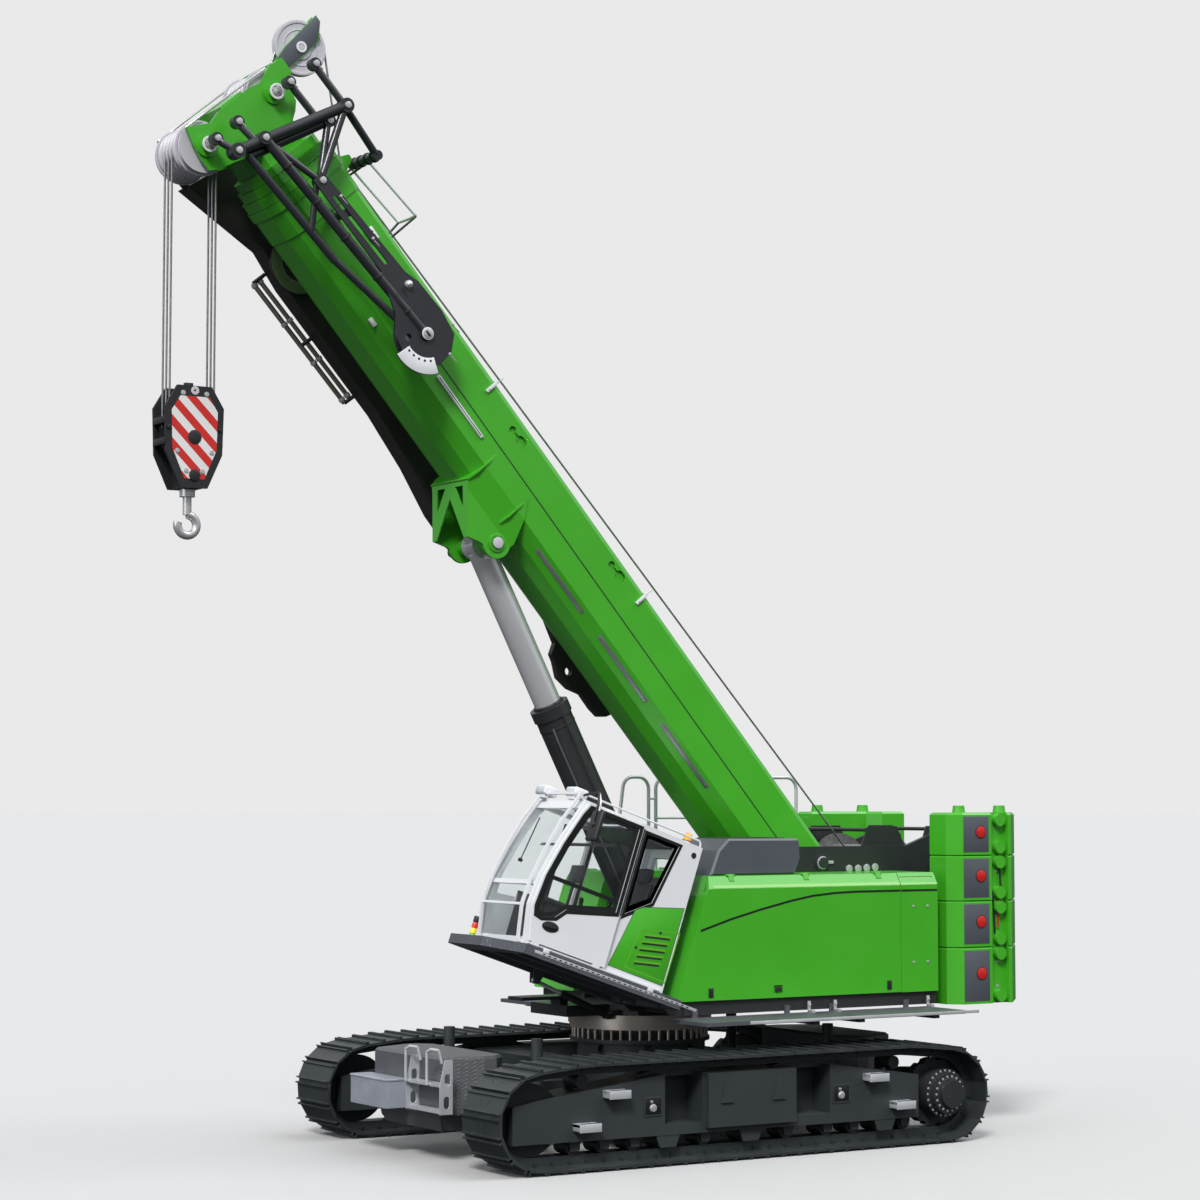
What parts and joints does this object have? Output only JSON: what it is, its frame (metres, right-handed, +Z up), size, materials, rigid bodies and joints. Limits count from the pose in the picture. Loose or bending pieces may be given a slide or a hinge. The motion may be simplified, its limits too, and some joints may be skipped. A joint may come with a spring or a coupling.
{
  "type": "telescopic boom crawler crane",
  "caption": "Crawler crane with tracked undercarriage, slewing deck, tilting cab, stacked counterweights and a telescoping luffing boom with hook block.",
  "frame": {"origin": "on the ground under the slewing axis, midway along the tracks", "axes": "+X forward, the way the boom points; +Y to the operator's left; +Z up"},
  "size_m": [10.3494, 4.559, 12.0473],
  "materials": {
    "green_paint": "gloss",
    "white_paint": "satin",
    "slate_paint": "satin",
    "black_paint": "satin",
    "track_steel": "matte",
    "bright_steel": "polished",
    "galvanised": "satin",
    "glazing": "clear",
    "trim": "matte"
  },
  "bodies": {
    "undercarriage": {"carbody": "slate_paint", "ballast_front": "slate_paint", "ballast_rear": "slate_paint", "boarding_ladder": "slate_paint", "toolbox": "slate_paint", "slewing_ring": "track_steel", "side_frame_left": "slate_paint", "side_frame_right": "slate_paint", "track_left": "track_steel", "track_right": "track_steel", "running_gear_left": "track_steel", "running_gear_right": "track_steel"},
    "upper_deck": {"deck_frame": "slate_paint", "housing_left": "green_paint", "housing_right": "green_paint", "intake_cover": "slate_paint", "catwalk_left": "galvanised", "catwalk_right": "galvanised", "deck_rails": "galvanised", "counterweight_left": "green_paint", "counterweight_right": "green_paint", "engine_block": "track_steel", "fluid_tanks": "slate_paint", "winch_guards": "slate_paint"},
    "winch_drum": {"winch_drum": "slate_paint"},
    "hood_left": {"hood_left": "green_paint"},
    "hood_right": {"hood_right": "green_paint"},
    "cab": {"cab_platform": "slate_paint", "cab_shell": "white_paint", "cab_glazing": "glazing", "cab_interior": "trim"},
    "cab_door": {"cab_door": "white_paint", "door_pane": "glazing"},
    "cab_tilt_barrel": {"cab_tilt_barrel": "black_paint"},
    "cab_tilt_rod": {"cab_tilt_rod": "bright_steel"},
    "boom": {"boom_base": "green_paint", "jib_left": "black_paint", "jib_right": "black_paint"},
    "boom_section_2": {"boom_section_2": "green_paint"},
    "boom_section_3": {"boom_section_3": "green_paint"},
    "boom_section_4": {"boom_section_4": "green_paint"},
    "boom_head": {"boom_section_5": "green_paint", "head_sheaves": "galvanised"},
    "luff_rod": {"luff_rod": "bright_steel"},
    "luff_barrel": {"luff_barrel": "slate_paint"},
    "hoist_falls": {"hoist_ropes": "galvanised"},
    "hook_block": {"hook_block": "slate_paint"},
    "hook": {"hook": "track_steel"}
  },
  "joints": [
    {"name": "slew", "type": "hinge", "parent": "undercarriage", "child": "upper_deck", "pos_m": [0, 0, 1.3], "axis": [0, 0, 1], "continuous": true},
    {"name": "boom_luff", "type": "hinge", "parent": "upper_deck", "child": "boom", "pos_m": [-2.08, 0, 3.03], "axis": [0, -1, 0], "range_deg": [-49.2, 32.8]},
    {"name": "luff_rod_pivot", "type": "hinge", "parent": "boom", "child": "luff_rod", "pos_m": [2.08268, 0, 6.51277], "axis": [0, -1, 0], "range_deg": [-6.89, 4.6]},
    {"name": "luff_barrel_slide", "type": "slide", "parent": "luff_rod", "child": "luff_barrel", "axis": [-0.4585, 0, -0.8887], "range_m": [-1.63, 1.09]},
    {"name": "telescope_2", "type": "slide", "parent": "boom", "child": "boom_section_2", "axis": [0.6534, 0, 0.757], "range_m": [0, 7.75]},
    {"name": "telescope_3", "type": "slide", "parent": "boom_section_2", "child": "boom_section_3", "axis": [0.6534, 0, 0.757], "range_m": [0, 7.75]},
    {"name": "telescope_4", "type": "slide", "parent": "boom_section_3", "child": "boom_section_4", "axis": [0.6534, 0, 0.757], "range_m": [0, 7.75]},
    {"name": "telescope_5", "type": "slide", "parent": "boom_section_4", "child": "boom_head", "axis": [0.6534, 0, 0.757], "range_m": [0, 7.75]},
    {"name": "hook_swing", "type": "hinge", "parent": "boom_head", "child": "hoist_falls", "pos_m": [5.52444, 0, 10.42968], "axis": [0, -1, 0], "range_deg": [-32.81, 49.21]},
    {"name": "hook_hoist", "type": "slide", "parent": "hoist_falls", "child": "hook_block", "axis": [0, 0, -1], "range_m": [-2, 6.2], "deforming": ["hoist_ropes"]},
    {"name": "hook_swivel", "type": "hinge", "parent": "hook_block", "child": "hook", "pos_m": [5.52444, 0, 6.9], "axis": [0, 0, 1], "continuous": true},
    {"name": "winch_turn", "type": "hinge", "parent": "upper_deck", "child": "winch_drum", "pos_m": [-3.12, 0, 2.93], "axis": [0, 1, 0], "continuous": true},
    {"name": "cab_tilt", "type": "hinge", "parent": "upper_deck", "child": "cab", "pos_m": [0.57301, 0, 1.57226], "axis": [0, -1, 0], "range_deg": [-19, 0]},
    {"name": "cab_tilt_barrel_pivot", "type": "hinge", "parent": "upper_deck", "child": "cab_tilt_barrel", "pos_m": [0.72, 0.47, 1.4], "axis": [0, -1, 0], "range_deg": [-21, 0.02]},
    {"name": "cab_tilt_rod_slide", "type": "slide", "parent": "cab_tilt_barrel", "child": "cab_tilt_rod", "axis": [0.9125, 0, 0.4091], "range_m": [-0.06722, 0.0005]},
    {"name": "cab_door_slide", "type": "slide", "parent": "cab", "child": "cab_door", "axis": [-0.9455, 0, -0.3256], "range_m": [0, 0.78]},
    {"name": "hood_left_hinge", "type": "hinge", "parent": "upper_deck", "child": "hood_left", "pos_m": [-1, 1.415, 2.93], "axis": [1, 0, 0], "range_deg": [0, 80]},
    {"name": "hood_right_hinge", "type": "hinge", "parent": "upper_deck", "child": "hood_right", "pos_m": [-1, -1.415, 2.93], "axis": [-1, 0, 0], "range_deg": [0, 80]}
  ],
  "couplings": [
    {"joint": "luff_rod_pivot", "follows": "boom_luff", "ratio": 0.14},
    {"joint": "luff_barrel_slide", "follows": "boom_luff", "m_per_rad": 1.891},
    {"joint": "hook_swing", "follows": "boom_luff", "ratio": -1},
    {"joint": "telescope_3", "follows": "telescope_2", "ratio": 1},
    {"joint": "telescope_4", "follows": "telescope_2", "ratio": 1},
    {"joint": "telescope_5", "follows": "telescope_2", "ratio": 1},
    {"joint": "cab_tilt_barrel_pivot", "follows": "cab_tilt", "ratio": 1.104},
    {"joint": "cab_tilt_rod_slide", "follows": "cab_tilt", "m_per_rad": 0.2012}
  ]
}
